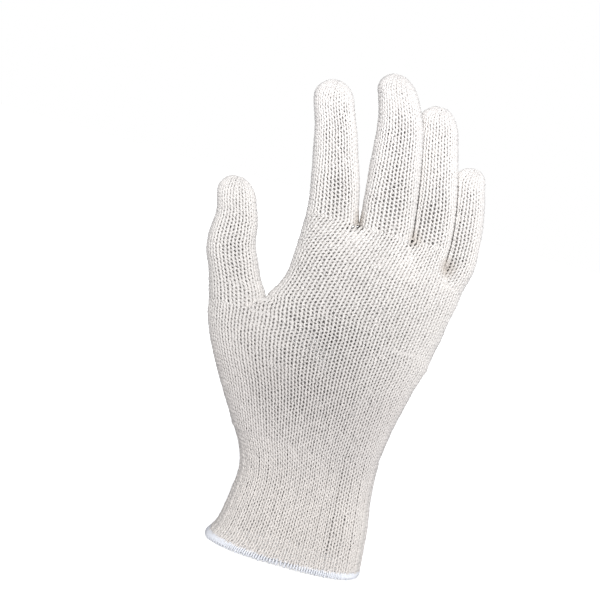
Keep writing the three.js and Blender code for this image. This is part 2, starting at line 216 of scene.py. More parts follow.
ROWS_PER_COURSE = 2       # rows of a sheet to a course of loops
SHEET_TURNS = 360         # outline samples round a sheet
HALVINGS = 22             # steps of the search for an edge of the hand's outline
FIRST_COURSE_DROP = 1.2   # how far under the hem's top the first course lies
TOP_CLEARANCE = 0.15      # how far under its own top a sheet's last outline is read
PACE_DROP = 1.0           # how far under the thumb's parting the wales above it are counted
EDGE_START, EDGE_SPAN = 0.8, 0.1    # sine of the angle where true steps begin round an edge, and how fast
TAKE_UP, TAKE_UP_SPAN = 0.4, 0.2    # part of a half round where gained or lost wales are taken up
GUIDE_MARGIN = 0.1        # how far a stall's guide stays inside its edges
ROW_MARGIN = 1e-4         # keeps the row that is read under a sheet's last one
PRESS_DROP = 2.0          # how far under its fork a finger begins to be pressed
PRESS_ROUNDS = 3          # rounds of pressing a finger's outline off its neighbour
DOME_END = 0.95           # share of a quarter turn where a fingertip's last course lies
DOME_OVERRUN = 0.05       # how far the tip's rings run on past that, in radians
CLOSING_END = 1.55        # angle up the dome past which a course gets no narrower
NARROW_FROM = 0.6         # narrowness of a tip's course, against the finger, where wales are dropped
NARROW_FULLNESS = 1.3     # how many wales are kept there against the course's length
FEWEST_WALES = 2          # and the fewest of each half
LOOP_POINTS = 10          # points of the yarn to a loop
YARN_SIDES = 4            # corners of the yarn's section
THUMB_SIDE_WALES = 52     # from the guide wale over the front round the thumb's edge to the palm side
LITTLE_SIDE_WALES = 21    # and on round the little finger's edge
MEASURE_DEPTH = 15.0      # half the thickness of the smooth outline along which wales are spaced
# How much narrower a finger's front wales stand, below zero wider, at heights over its root: fingers
# whose roots part at the fork, and those that part lower at the sides
CROWDING = ([(0, 14, 30), (-0.1, -0.1, 0.04)], [(0, 28), (0.14, 0.0)])
FULL_PITCH = 3.7          # width of a wale, in millimetres, at which the yarn has its full thickness
PACKING = 0.55            # how quickly it packs thinner in narrower wales
PACKED_LEAST, PACKED_MOST = 0.6, 1.1
# Unevenness of the knit, one spread to each loop: of its rise and the yarn's girth as shares, of its
# place in wales and courses, and of its depth in millimetres
RISE_SPREAD, GIRTH_SPREAD = 0.05, 0.04
WALE_SPREAD, COURSE_SPREAD, DEPTH_SPREAD = 0.035, 0.05, 0.05
# Where the knit is pulled open, or closed below zero: middle across and up, reach across and up, how far
PULLED = [
    (-24, 181, 10, 12, 0.9), (-32, 212, 8, 14, 0.5), (3.5, 184, 10, 14, 0.9), (-1, 212, 9, 14, 0.6),
    (24, 180, 9, 14, 0.9), (42, 168, 7, 10, 0.6), (-64, 134, 9, 18, 0.6), (-12, 110, 20, 16, 1.0),
    (-24, 150, 16, 14, 0.4), (-14, 82, 26, 12, 0.5),
    (-38, 233, 15, 9, -1.0), (-14, 244, 15, 10, -1.0), (10, 234, 13, 9, -0.9), (40, 210, 10, 9, -0.8),
    (-72, 173, 14, 8, -0.4), (40, 120, 12, 30, -0.6), (12, 152, 20, 9, -0.3),
    (-9, 162, 9, 8, -0.9), (19, 159, 8, 8, -0.7), (37, 150, 8, 7, -0.6), (-45, 112, 12, 10, -0.5),
]
HEM_TURNS = 196           # turns of the overlock thread round the edge
HEM_POINTS = 12           # points of the thread to a turn
HEM_MIDDLE = 1.5          # height of the middle of the wrapped edge
HEM_REACH = 1.2           # how far the thread's middle goes up and down from there
HEM_WRAP = 1.0            # and out and in
HEM_INSET = 1.05          # depth of the middle of the edge under the cuff's face
RIB_FADE = 8              # courses over which the cuff's ribs fade out at its top


def unit(vectors):
    """Vectors over their own lengths."""
    return vectors / np.maximum(np.linalg.norm(vectors, axis=-1, keepdims=True), TINY)


def read(table, column, up):
    """A smooth curve through a table's rows, level past both ends.

    Between two rows it is the cubic that meets both values with the slopes that the rows
    beside them give.
    """
    x, y = table["up"], table[column]
    slope = np.gradient(y, x)
    slope[1:-1] = (y[2:] - y[:-2]) / (x[2:] - x[:-2])
    row = np.clip(np.searchsorted(x, up, side="right") - 1, 0, len(x) - 2)
    run = x[row + 1] - x[row]
    part = np.clip((up - x[row]) / run, 0, 1)
    start = (1 + 2 * part) * (1 - part) ** 2 * y[row] + part * (1 - part) ** 2 * run * slope[row]
    end = part * part * (3 - 2 * part) * y[row + 1] - part * part * (1 - part) * run * slope[row + 1]
    return start + end


def arch(x):
    """How far the middle of the hand falls back across: the square of the way from its ridge."""
    return ARCH_DROP * ((x - RIDGE_ACROSS) / ARCH_SPAN) ** 2


def round_off(height, start, length):
    """A rounded end: the height of a quarter circle that begins at start and ends after length."""
    return np.sqrt(np.maximum(1 - np.clip((height - start) / length, 0, 1) ** 2, 0))


def section(x, half, front, back, y=0.0, fall=0.0, power=2.0):
    """One level section for each height: where its middle is, and how far it reaches each way."""
    return {"x": x, "half": half, "front": front, "back": back, "y": y + 0 * x, "fall": fall,
            "power": power}


def cuff_section(z):
    """The cuff at a height: its table's shares of its width and depth."""
    up = z / CUFF_HEIGHT
    depth = CUFF_DEPTH / 2 * read(CUFF, "depth", up)
    half = CUFF_WIDTH / 2 * read(CUFF, "width", up)
    return section(CUFF_WIDTH * read(CUFF, "across", up), half, depth, depth, power=BROAD_POWER)


def broad_section(table, up, end, fall):
    """A section of the hand from its table, with its middle half-way between both edges."""
    left = HAND_BREADTH * read(table, "left", up)
    right = HAND_BREADTH * read(table, "right", up)
    return section(
        (left + right) / 2, (right - left) / 2 * end,
        HAND_THICKNESS * read(table, "front", up) * end,
        HAND_THICKNESS * read(table, "back", up) * end,
        fall=fall, power=BROAD_POWER,
    )


def hand_section(z):
    """The hand from the wrist up, closed over by the web of the thumb."""
    up = (z - CUFF_HEIGHT) / (THUMB_FORK - CUFF_HEIGHT)
    end = round_off(z, THUMB_FORK - WEB_ROUND, WEB_ROUND)
    return broad_section(HAND, up, end, np.clip(up, 0, 1))


def palm_section(z):
    """The palm behind the knuckles, closed over at the fingers' forks."""
    up = (z - THUMB_FORK) / (MAIN_FORK - THUMB_FORK)
    end = round_off(z, MAIN_FORK - CROTCH_ROUND, CROTCH_ROUND) * (z >= THUMB_FORK - PALM_ROOT)
    return broad_section(PALM, up, end, 1.0)


def stall_section(form, z):
    """A finger or thumb at a height, or its root inside the hand under its fork."""
    height = z - form["fork"]
    up = height / form["length"]
    foot = round_off(-height, form["root"] / 2, form["root"] / 2)
    end = round_off(height, form["length"] - form["dome"], form["dome"]) * foot
    width, rows = form["width"], form["rows"]
    depth = width / 2 * read(rows, "depth", up) * end
    return section(
        form["stand"] + width * read(rows, "across", up),
        width / 2 * read(rows, "width", up) * end, depth, depth,
        y=arch(form["stand"]) - form["lift"] + width * read(rows, "curl", up),
    )


def turn_angles():
    """Angles round an outline from its right edge over the front to the left and back."""
    return np.pi / 2 - 2 * np.pi * np.arange(SHEET_TURNS) / SHEET_TURNS


def rim(form):
    """The outline of one section, a superellipse.

    Across goes with the sine of the angle and depth with its cosine, each to the power of
    2 / power with its sign kept.
    """
    angle = turn_angles()[None, :]
    face, side = np.cos(angle), np.sin(angle)
    face = np.sign(face) * np.abs(face) ** (2 / form["power"])
    side = np.sign(side) * np.abs(side) ** (2 / form["power"])
    x = form["x"] + form["half"] * side
    depth = np.where(face > 0, form["front"], form["back"])
    return x, form["y"] + form["fall"] * arch(x) - depth * face


def outside(form, x, y):
    """About how far points lie outside a section, below zero inside, and which way is out.

    It is the superellipse's own reach less one, over the length of its slope.
    """
    off = y - form["y"] - form["fall"] * arch(x)
    depth = np.maximum(np.where(off < 0, form["front"], form["back"]), THINNEST)
    half = np.maximum(form["half"], THINNEST)
    power = form["power"]
    across, along = np.abs(x - form["x"]) / half, np.abs(off) / depth
    reach = np.maximum((across ** power + along ** power) ** (1 / power), TINY)
    slope_x = (across / reach) ** (power - 1) / half * np.sign(x - form["x"])
    slope_y = (along / reach) ** (power - 1) / depth * np.sign(off)
    steep = np.maximum(np.hypot(slope_x, slope_y), TINY)
    return (reach - 1) / steep, slope_x / steep, slope_y / steep


def hand_outline(z):
    """The outline round all sections of the hand at each height.

    The sections' distances melt by the logarithm of a sum of exponentials, and each point of
    the front or back edge is found by halving the way from a point inside to one outside.
    """
    forms = []
    for form in STALLS.values():
        present = (z <= form["fork"] - form["parting"]) | (form["parting"] == 0)
        forms.append((stall_section(form, z), present))
    forms += [(palm_section(z), z > 0), (hand_section(z), z > 0)]
    forms = [
        (form, present & (np.minimum(form["half"], form["front"]) > THINNEST))
        for form, present in forms
    ]
    crisp = np.clip((z - (MAIN_FORK - KNUCKLE_SPAN)) / KNUCKLE_SPAN, 0, 1)
    softness = PALM_SOFTNESS + (FORK_SOFTNESS - PALM_SOFTNESS) * crisp
    left = np.min([np.where(p, f["x"] - f["half"], FAR) for f, p in forms], axis=0)
    right = np.max([np.where(p, f["x"] + f["half"], -FAR) for f, p in forms], axis=0)
    angle = turn_angles()[None, :]
    x = left + (right - left) * (1 + np.sin(angle)) / 2

    def melted(y):
        """Distance outside all the sections at once, below zero inside."""
        near = 0
        for form, present in forms:
            nearness = np.minimum(-outside(form, x, y)[0] / softness, NEAREST)
            near = near + np.where(present, np.exp(nearness), 0)
        return -softness * np.log(near + NEARLY_NOTHING)

    middles = [np.where(p, f["y"] + f["fall"] * arch(x), 0 * x) for f, p in forms]
    depths = np.array([melted(y) for y in middles])
    depths = np.where(np.array([p + 0 * x for _, p in forms]), depths, FAR)
    inside = np.take_along_axis(np.array(middles), depths.argmin(0)[None], 0)[0]
    start = inside
    beyond = inside - np.sign(np.cos(angle)) * CUFF_DEPTH
    for _ in range(HALVINGS):
        middle = (inside + beyond) / 2
        within = melted(middle) < 0
        inside = np.where(within, middle, inside)
        beyond = np.where(within, beyond, middle)
    edge = (np.abs(np.cos(angle)) < TINY) | (depths.min(0) > 0)
    return x, np.where(edge, start, inside)


def course_heights():
    """Heights of all courses, each one pitch over the one before."""
    heights = [HEM_HEIGHT - FIRST_COURSE_DROP]
    while heights[-1] < COURSE_PITCH["z"][-1]:
        heights.append(heights[-1] + np.interp(heights[-1], COURSE_PITCH["z"], COURSE_PITCH["pitch"]))
    return np.array(heights)


HEIGHTS = course_heights()
COUNT = np.arange(len(HEIGHTS))


def course_at(z):
    """Number of the course at a height, read between the courses' heights."""
    return float(np.interp(z, HEIGHTS, COUNT))


class Sheet:
    """A tube of cloth as a grid: rows go up by half a course and columns go round by its wales.

    Columns begin at the guide on the front, reach the guide on the palm side half-way round, and
    go on round the little finger's edge. thumb_side and little_side hold the wales of both halves.
    z, x and y are the outlines, guide is where the guide stands across each row, and step is the
    way round between samples. Its sum gives the wales at a pace, or else both halves have fixed ones.
    """

    def __init__(self, first, z, x, y, guide, step, fixed=None, pace=None):
        self.first = first
        rows = len(z)
        half = SHEET_TURNS // 2
        place = np.stack([x, y, np.broadcast_to(z, x.shape)], -1)
        place = np.concatenate([place, place[:, :1]], 1)
        wale = np.concatenate([np.zeros((rows, 1)), np.cumsum(step, 1)], 1)
        self.grid = np.zeros((rows, SHEET_TURNS, 3))
        self.thumb_side, self.little_side = np.zeros(rows), np.zeros(rows)
        for row in range(rows):
            start = np.interp(-guide[row], -place[row, :half + 1, 0], wale[row, :half + 1])
            middle = np.interp(guide[row], place[row, half:, 0], wale[row, half:])
            total = wale[row, -1]
            ends = np.interp(np.arange(SHEET_TURNS), [0, half, SHEET_TURNS], [start, middle, total + start])
            for axis in range(3):
                self.grid[row, :, axis] = np.interp(ends % total, wale[row], place[row, :, axis])
            self.thumb_side[row], self.little_side[row] = middle - start, total + start - middle
        if fixed:
            self.thumb_side[:], self.little_side[:] = fixed
        else:
            self.thumb_side *= pace
            self.little_side *= pace
        self.normals = self.outward(self.grid)

    @staticmethod
    def outward(grid):
        """Normals: the way up crossed with the way round, which points out of the cloth."""
        around = np.roll(grid, -2, 1) - np.roll(grid, 2, 1)
        up = np.gradient(grid, axis=0)
        return unit(np.cross(up, around))

    def counts(self, course):
        """Whole wales of a course from guide to guide round both edges."""
        row = int(np.clip((course - self.first) * ROWS_PER_COURSE, 0, len(self.thumb_side) - 1))
        return round(self.thumb_side[row]), round(self.little_side[row])

    def sample(self, course, wale, counts):
        """Point and normal at a course and a wale of its own counts, read between the grid's corners.

        Wales count from the nearer guide, so that they run on from row to row, and what a row has
        more or fewer of them is taken up at the edges.
        """
        row = np.clip((course - self.first) * ROWS_PER_COURSE, 0, len(self.grid) - 1 - ROW_MARGIN)
        below = row.astype(int)
        share = (row - below)[:, None]
        wale = wale % sum(counts)
        thumbward = wale < counts[0]
        part = np.where(thumbward, wale, wale - counts[0])
        own = np.where(thumbward, *counts)
        past = np.clip((part / own - TAKE_UP) / TAKE_UP_SPAN, 0, 1)
        past = past * past * (3 - 2 * past)
        found = []
        for grid in (self.grid, self.normals):
            ends = []
            for at in (below, below + 1):
                has = np.where(thumbward, self.thumb_side[at], self.little_side[at])
                column = ((part + past * (has - own)) / has + ~thumbward) * SHEET_TURNS / 2
                whole = np.floor(column).astype(int)
                rest = (column - whole)[:, None]
                before, after = whole % SHEET_TURNS, (whole + 1) % SHEET_TURNS
                ends.append(grid[at, before] * (1 - rest) + grid[at, after] * rest)
            found.append(ends[0] * (1 - share) + ends[1] * share)
        return found

    def wale_at(self, x, course):
        """Number of the wale at a place across the front of a course, counted from the guide."""
        row = int((course - self.first) * ROWS_PER_COURSE)
        quarter = SHEET_TURNS // 4
        columns_round = np.arange(-quarter // 2, quarter + 1)
        across = self.grid[row, columns_round % SHEET_TURNS, 0]
        wales = np.where(columns_round < 0, self.little_side[row], self.thumb_side[row])
        return float(np.interp(-x, -across, columns_round * wales / (SHEET_TURNS / 2)))


def rows_between(low, high):
    """Course numbers from low to high in the sheet's steps, one course beyond at both ends."""
    return np.arange(math.floor(low) - 1, math.ceil(high) + 1 + TINY, 1 / ROWS_PER_COURSE)


def true_steps(x, y):
    """Steps between neighbours round each row."""
    across, along = np.roll(x, -1, 1) - x, np.roll(y, -1, 1) - y
    return np.hypot(across, along)


def even_steps(x, y):
    """Steps round each row, over the width of a wale there.

    On both faces they are those of an ellipse as wide as the row, so that the dips between the
    fingers don't count, and round the edges those of the row itself.
    """
    half = (x.max(1, keepdims=True) - x.min(1, keepdims=True)) / 2
    around = np.append(turn_angles(), turn_angles()[0])
    smooth_x, smooth_y = half * np.sin(around), MEASURE_DEPTH * np.cos(around) + 0 * half
    step = np.hypot(np.diff(smooth_x, axis=1), np.diff(smooth_y, axis=1))
    steepness = np.abs(np.sin(turn_angles() - np.pi / SHEET_TURNS))
    edge = np.clip((steepness - EDGE_START) / EDGE_SPAN, 0, 1)
    step = step + edge * (true_steps(x, y) - step)
    return step / np.interp(x, ACROSS["x"], ACROSS["width"])


def body_sheet(low, high):
    """The cloth of the cuff or a part of the hand between two heights."""
    course = rows_between(course_at(low), course_at(high))
    z = np.interp(course, COUNT, HEIGHTS)[:, None]
    level = np.clip(z, low, high - TOP_CLEARANCE)
    guide = np.interp(z[:, 0], GUIDE["z"], GUIDE["x"])
    if high <= CUFF_HEIGHT:
        x, y = rim(cuff_section(level))
        step = true_steps(x, y) / np.interp(x, ACROSS["x"], ACROSS["width"])
    else:
        x, y = hand_outline(level)
        step = even_steps(x, y)
    if high <= THUMB_FORK:
        return Sheet(course[0], z, x, y, guide, step, fixed=(THUMB_SIDE_WALES, LITTLE_SIDE_WALES))
    joined_z = np.full((2, 1), THUMB_FORK - SIDE_PARTING - PACE_DROP)
    below = hand_outline(joined_z)
    joined_guide = np.interp(joined_z[:, 0], GUIDE["z"], GUIDE["x"])
    joined = Sheet(0, joined_z, *below, joined_guide, even_steps(*below), pace=1.0)
    pace = THUMB_SIDE_WALES / joined.thumb_side[0]
    pace = pace / np.interp(z[:, 0], NARROWING["z"], NARROWING["width"])
    return Sheet(course[0], z, x, y, guide, step, pace=pace)


def stall_sheet(name):
    """A finger's cloth: level rings up to its dome, then rings spaced along the dome's quarter circle."""
    form = STALLS[name]
    low = form["fork"] - form["parting"]
    start = form["fork"] + form["length"] - form["dome"]
    course_start = course_at(start)
    radius = (form["dome"] + form["width"] / 2 * read(form["rows"], "width", 1.0)) / 2
    pitch = np.interp(start, COURSE_PITCH["z"], COURSE_PITCH["pitch"])
    last_turn = DOME_END * np.pi / 2
    last = course_start + last_turn * radius / pitch
    course = rows_between(course_at(low), last)
    turn = np.clip((course - course_start) * pitch / radius, 0, last_turn + DOME_OVERRUN)
    z = np.where(turn > 0, start + form["dome"] * np.sin(turn), np.interp(course, COUNT, HEIGHTS))
    z = z[:, None]
    own = stall_section(form, z)
    x, y = rim(own)
    below = body_sheet(CUFF_HEIGHT, low)
    root = float(stall_section(form, np.array([[low]]))["x"][0, 0])
    crowding = np.interp(z - low, *CROWDING[form["parting"] > 0])
    step = true_steps(x, y) / (1 - crowding * np.cos(turn_angles())[None, :])
    if name in PRESSED_BY:
        other = stall_section(STALLS[PRESSED_BY[name]], z)
        for _ in range(PRESS_ROUNDS):
            away, slope_x, slope_y = outside(other, x, y)
            push = np.where(z > form["fork"] - PRESS_DROP, np.maximum(PRESSED_GAP - away, 0), 0)
            x, y = x + push * slope_x, y + push * slope_y
    half = form["wales"] // 2
    guide = np.clip(own["x"][:, 0], x.min(1) + GUIDE_MARGIN, x.max(1) - GUIDE_MARGIN)
    sheet = Sheet(course[0], z, x, y, guide, step, fixed=(half, half))
    sheet.last = last
    sheet.offset = -below.wale_at(root, course_at(low)) % 1
    sheet.narrowness = lambda at: math.cos(np.clip((at - course_start) * pitch / radius, 0, CLOSING_END))
    return sheet


def pull_at(point):
    """How far the knit is pulled open there, from -1 to 1: a sum of soft round patches."""
    total = np.zeros(point.shape[:-1])
    for x, z, reach_x, reach_z, strength in PULLED:
        near = ((point[..., 0] - x) / reach_x) ** 2 + ((point[..., 2] - z) / reach_z) ** 2
        total += strength * np.exp(-near)
    return np.clip(total, -1, 1)


def loop_path(sheet, course, counts, props, rng, gathered=1.0, offset=0.0, rib=0.0):
    """One course of plain knit as the middle line of its yarn.

    With t the wales along the course, the yarn stands at t plus lean times the sine of twice
    its turn, rises by the cosine of its turn, and lies in front where its legs are, by minus
    the cosine of twice its turn.
    """
    wales = sum(counts)
    t = np.arange(wales * LOOP_POINTS) / LOOP_POINTS
    turn = 2 * np.pi * t

    def uneven(size):
        """A random amount for each loop, joined along the yarn by a half wave of the cosine."""
        own = rng.normal(0, size, wales)
        blend = 0.5 - 0.5 * np.cos(np.pi * (t - np.floor(t)))
        first = np.floor(t).astype(int) % wales
        return own[first] * (1 - blend) + own[(first + 1) % wales] * blend

    rise = props.loop_rise * (1 + uneven(RISE_SPREAD))
    along = t + props.loop_lean * np.sin(2 * turn) + uneven(WALE_SPREAD)
    up = course - rise * np.cos(turn) + uneven(COURSE_SPREAD)
    point, normal = sheet.sample(up, along * gathered + offset, [count * gathered for count in counts])
    loop_depth, half = props.loop_depth / MM, props.yarn_thickness / 2 / MM
    bulge = loop_depth * -np.cos(2 * turn) + uneven(DEPTH_SPREAD) + rib * np.cos(np.pi * t)
    depth = bulge - (loop_depth + half - props.stand_off / MM)
    pulled = pull_at(point)
    pitch = np.linalg.norm(np.roll(point, -LOOP_POINTS, 0) - point, axis=1)
    packed = np.clip((pitch / FULL_PITCH) ** PACKING, PACKED_LEAST, PACKED_MOST)
    palmward = np.clip(normal[:, 1], 0, 1)
    tight = props.palm_tightness * palmward - props.pull_thinning * pulled * (1 - palmward)
    radius = half * packed * (1 + tight) * (1 + uneven(GIRTH_SPREAD))
    return point + normal * depth[:, None], normal, radius


def yarn_mesh(name, paths):
    """Closed yarns as tubes.

    Each point of a path gets a ring: its radius times the cosine of the corner's angle along
    the cloth's normal, plus its radius times the sine along the yarn crossed with the normal.
    """
    corner = np.arange(YARN_SIDES)[None, :]
    next_corner = (corner + 1) % YARN_SIDES
    angle = (2 * np.pi * corner / YARN_SIDES)[..., None]
    vertices, quads, maps, first = [], [], [], 0
    for path, normal, radius in paths:
        tangent = unit(np.roll(path, -1, 0) - np.roll(path, 1, 0))
        side = unit(np.cross(tangent, normal))
        out = np.cross(side, tangent)
        ring = np.cos(angle) * out[:, None] + np.sin(angle) * side[:, None]
        vertices.append((path[:, None] + radius[:, None, None] * ring).reshape(-1, 3))
        point = np.arange(len(path))[:, None]
        next_point = (point + 1) % len(path)
        quad = np.stack([point * YARN_SIDES + corner, point * YARN_SIDES + next_corner,
                         next_point * YARN_SIDES + next_corner, next_point * YARN_SIDES + corner], -1)
        quads.append(quad.reshape(-1, 4) + first)
        first += len(path) * YARN_SIDES
        stretch = np.linalg.norm(np.roll(path, -1, 0) - path, axis=1)
        length = np.concatenate([[0], np.cumsum(stretch)])
        u = np.stack([length[point], length[point], length[point + 1], length[point + 1]], -1)
        v = np.stack([corner, corner + 1, corner + 1, corner], -1) / YARN_SIDES
        maps.append(np.stack(np.broadcast_arrays(u, v), -1).reshape(-1, 2))
    return build_mesh(name, np.concatenate(vertices), np.concatenate(quads), np.concatenate(maps))


def build_mesh(name, vertices, quads, uv):
    """A smooth mesh object from arrays of corners in millimetres, quads and their map."""
    mesh = bpy.data.meshes.new(name)
    mesh.vertices.add(len(vertices))
    mesh.vertices.foreach_set("co", (vertices * MM).astype(np.float32).ravel())
    mesh.loops.add(quads.size)
    mesh.loops.foreach_set("vertex_index", quads.astype(np.int32).ravel())
    mesh.polygons.add(len(quads))
    mesh.polygons.foreach_set("loop_start", np.arange(0, quads.size, 4, dtype=np.int32))
    mesh.polygons.foreach_set("use_smooth", np.ones(len(quads), bool))
    layer = mesh.uv_layers.new(name="yarn")
    layer.uv.foreach_set("vector", uv.astype(np.float32).ravel())
    mesh.update(calc_edges=True)
    mesh.validate()
    piece = bpy.data.objects.new(name, mesh)
    bpy.context.scene.collection.objects.link(piece)
    return piece


def finish_piece(piece, material, slot, *nodes):
    """Gives a piece its material and its place on the glove, and hides the solids that it stands for."""
    piece.data.materials.append(material)
    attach(piece, "root")
    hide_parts(*nodes)
    return piece


# Materials
class Value:
    """A socket of a node tree on which ordinary arithmetic adds Math nodes."""

    def __init__(self, shader, socket):
        self.shader = shader
        self.socket = socket

    def math(self, operation, *others):
        """Adds a Math node that takes this value first."""
        return self.shader.node("ShaderNodeMath", {"operation": operation}, self, *others)

    def __add__(self, other):
        return self.math("ADD", other)

    def __mul__(self, other):
        return self.math("MULTIPLY", other)

    __radd__ = __add__
    __rmul__ = __mul__


class Shader:
    """A new material, and the one method that adds its nodes."""

    def __init__(self, name):
        self.material = bpy.data.materials.new(name)
        self.material.use_nodes = True
        self.tree = self.material.node_tree
        self.surface = self.tree.nodes["Principled BSDF"]

    def node(self, kind, settings, *values, output=0, **named):
        """Adds a node: its settings first, then its inputs by place or name. Returns an output."""
        made = self.tree.nodes.new(kind)
        for key, value in settings.items():
            if key == "stops":
                ramp = made.color_ramp.elements
                while len(ramp) < len(value):
                    ramp.new(0.5)
                for element, (place, colour) in zip(ramp, value):
                    element.position = place
                    element.color = colour
            else:
                setattr(made, key, value)
        for place, value in [*enumerate(values), *named.items()]:
            self.feed(made.inputs[place], value)
        return Value(self, made.outputs[output])

    def feed(self, socket, value):
        """Links a value to a socket, or sets it."""
        if isinstance(value, Value):
            self.tree.links.new(value.socket, socket)
        elif value is not None:
            socket.default_value = value

    def mix(self, factor, first, second):
        """A colour between two, by a factor."""
        return self.node("ShaderNodeMix", {"data_type": "RGBA"}, factor, None, None, None, None, None,
                         first, second, output=2)


TONE_TOP = 250.0          # height at which the ramp of tones, mostly painted light and shade, ends
DULL = (0.88, 0.875, 0.875)    # what the mottle multiplies the cotton's tone by
SPECK_SCALE, PATCH_SCALE, FUZZ_SCALE = 420.0, 45.0, 2600.0    # noises of the cotton, per metre
SPECK_SHARE = 0.6         # share of the specks in the mottle, against the patches
PLY_PITCH = 2.6           # length of yarn to a twist of its plies
YARN_RELIEF = 0.00012     # height of plies and fuzz in the bump, in metres
# Painted shade in the crotches between the fingers: a brown patch that darkens the cotton where the fingers
# meet.
CROTCH_PAINTED_SHADE = (0.36, 0.29, 0.22)
CROTCH_CORE = 2.0         # how far the full painted shade in a crotch reaches
CROTCH_REACH = 7.0        # and where it ends
PAINTED_SHADE_CROTCHES = [(-8.5, -3.0, 171.0), (19.0, -2.0, 169.0), (38.0, 0.0, 160.0)]


def colour4(value):
    """A colour with full alpha."""
    return (*value, 1.0)


def cotton(name, props, low, body, high, heights):
    """Cotton string: plied yarn, mottled, of three tones up the glove that are mostly painted light and
    shade over the cotton's own tone, lightest at the fingertips and darkest at the wrist, with painted
    brown shade at the crotches.
    """
    shader = Shader(name)
    place = shader.node("ShaderNodeTexCoord", {}, output=3)
    yarn = shader.node("ShaderNodeUVMap", {"uv_map": "yarn"})
    height = shader.node("ShaderNodeSeparateXYZ", {}, place, output=2)
    # Tones by height: mostly painted light and shade over the cotton's own tone, lighter towards the
    # fingertips and darker towards the wrist.
    stops = [(up / TONE_TOP, colour4(tone)) for up, tone in zip(heights, (low, body, high))]
    tone = shader.node("ShaderNodeValToRGB", {"stops": stops}, height * (1 / MM / TONE_TOP))
    speck = shader.node("ShaderNodeTexNoise", {}, place, None, SPECK_SCALE, 3.0, output=0)
    patch = shader.node("ShaderNodeTexNoise", {}, place, None, PATCH_SCALE, 2.0, output=0)
    uneven = speck * SPECK_SHARE + patch * (1 - SPECK_SHARE)
    dull = shader.node("ShaderNodeMapRange", {"clamp": True}, uneven, 0.3, 0.7, 0.0, 1.0)
    darker = shader.node("ShaderNodeMix", {"data_type": "RGBA", "blend_type": "MULTIPLY"}, 1.0, None, None,
                         None, None, None, tone, colour4(DULL), output=2)
    tone = shader.mix(dull * props.mottle, tone, darker)
    # Painted shade: a brown patch round each crotch between the fingers.
    for spot in PAINTED_SHADE_CROTCHES:
        away = shader.node("ShaderNodeVectorMath", {"operation": "DISTANCE"}, place,
                           tuple(value * MM for value in spot), output="Value")
        near = shader.node("ShaderNodeMapRange", {"clamp": True}, away, CROTCH_CORE * MM, CROTCH_REACH * MM,
                           props.crotch_painted_shade, 0.0)
        tone = shader.mix(near, tone, colour4(CROTCH_PAINTED_SHADE))
    shader.feed(shader.surface.inputs["Base Color"], tone)
    along = shader.node("ShaderNodeSeparateXYZ", {}, yarn, output=0)
    around = shader.node("ShaderNodeSeparateXYZ", {}, yarn, output=1)
    ply = (along * (2 * math.pi / PLY_PITCH) + around * (4 * math.pi)).math("SINE")
    fuzz = shader.node("ShaderNodeTexNoise", {}, place, None, FUZZ_SCALE, 2.0, output=0)
    relief = ply * 0.5 + fuzz * 1.2
    bump = shader.node("ShaderNodeBump", {}, Strength=0.5, Distance=YARN_RELIEF, Height=relief)
    shader.feed(shader.surface.inputs["Normal"], bump)
    shader.surface.inputs["Roughness"].default_value = 0.95
    shader.surface.inputs["Specular IOR Level"].default_value = 0.12
    shader.surface.inputs["Sheen Weight"].default_value = 0.15
    shader.surface.inputs["Sheen Roughness"].default_value = 0.6
    return shader.material


# Properties and operators
def length(name, description, default, least, most):
    """A length in metres that the user can change."""
    return bpy.props.FloatProperty(name=name, description=description, default=default, min=least, max=most,
                                   unit="LENGTH")


def amount(name, description, default, least, most):
    """A plain number that the user can change."""
    return bpy.props.FloatProperty(name=name, description=description, default=default, min=least, max=most)


def colour(name, description, default):
    """A colour that the user can change."""
    return bpy.props.FloatVectorProperty(name=name, description=description, default=default,
                                         min=0.0, max=1.0, subtype="COLOR", size=3)


